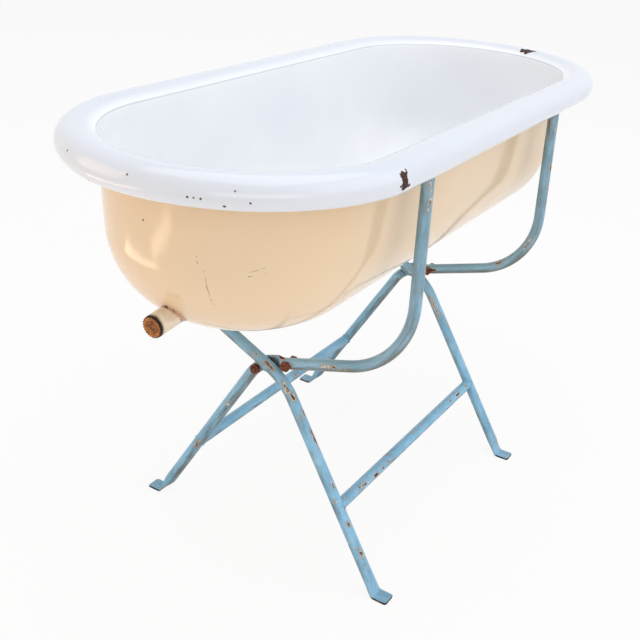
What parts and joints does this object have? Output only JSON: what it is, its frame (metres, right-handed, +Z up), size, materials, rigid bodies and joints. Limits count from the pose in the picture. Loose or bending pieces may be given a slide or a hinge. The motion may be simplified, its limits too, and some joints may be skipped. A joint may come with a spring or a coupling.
{
  "type": "baby bath on a folding stand",
  "caption": "Oval enamelled steel baby bath with a broad rolled rim and a low drain spout with screw plug, lifted onto the posts of a folding crossed stand of bent painted tube.",
  "frame": {"origin": "on the floor under the middle of the bath", "axes": "+X along the bath from the drain end to the head end, +Y to the left, +Z up"},
  "size_m": [0.96, 0.426, 0.6],
  "materials": {
    "white_enamel": "glossy vitreous enamel, white inside and on the rim, cream outside",
    "cream_enamel": "glossy cream enamel",
    "blue_paint": "worn semi-gloss light blue paint with chips and rust",
    "rusted_steel": "rusted, matt",
    "plain_steel": "dull",
    "rusted_iron": "rusted, matt",
    "rubber": "matt"
  },
  "bodies": {
    "pivot_pins": {"pivot_rivet_drain_end": "blue_paint", "pivot_spacer_drain_end": "plain_steel", "pivot_washer_drain_end": "plain_steel", "pivot_rivet_head_end": "blue_paint", "pivot_spacer_head_end": "plain_steel", "pivot_washer_head_end": "plain_steel"},
    "left_foot_frame": {"left_tube_drain_end": "blue_paint", "left_tube_head_end": "blue_paint", "left_cross_bar": "blue_paint", "stop_bolts_drain_end": "rusted_steel", "stop_nuts_drain_end": "rusted_steel", "post_tip_right_drain_end": "rubber", "stop_bolts_head_end": "rusted_steel", "stop_nuts_head_end": "rusted_steel", "post_tip_right_head_end": "rubber"},
    "right_foot_frame": {"right_tube_drain_end": "blue_paint", "right_tube_head_end": "blue_paint", "right_cross_bar": "blue_paint", "post_tip_left_drain_end": "rubber", "post_tip_left_head_end": "rubber"},
    "bath": {"bath_shell": "white_enamel", "drain_spout": "cream_enamel"},
    "plug_washer": {"plug_washer": "rubber"},
    "drain_plug": {"drain_plug": "rusted_iron"}
  },
  "joints": [
    {"name": "bath_lift", "type": "slide", "parent": "pivot_pins", "child": "bath", "axis": [0, 0, 1], "range_m": [0, 1.03]},
    {"name": "left_frame_fold", "type": "hinge", "parent": "pivot_pins", "child": "left_foot_frame", "pos_m": [0, 0, 0.266], "axis": [-1, 0, 0], "range_deg": [0, 29]},
    {"name": "right_frame_fold", "type": "hinge", "parent": "pivot_pins", "child": "right_foot_frame", "pos_m": [0, 0, 0.266], "axis": [1, 0, 0], "range_deg": [0, 29]},
    {"name": "plug_travel", "type": "slide", "parent": "bath", "child": "plug_washer", "axis": [-0.9945, 0, -0.1045], "range_m": [0, 0.0121]},
    {"name": "plug_turn", "type": "hinge", "parent": "plug_washer", "child": "drain_plug", "pos_m": [-0.424, 0, 0.407], "axis": [-0.9945, 0, -0.1045], "range_deg": [0, 2160]}
  ],
  "couplings": [
    {"joint": "left_frame_fold", "follows": "bath_lift", "rad_per_m": 0.4914},
    {"joint": "right_frame_fold", "follows": "bath_lift", "rad_per_m": 0.4914},
    {"joint": "plug_travel", "follows": "plug_turn", "m_per_rad": 0.00031831}
  ]
}
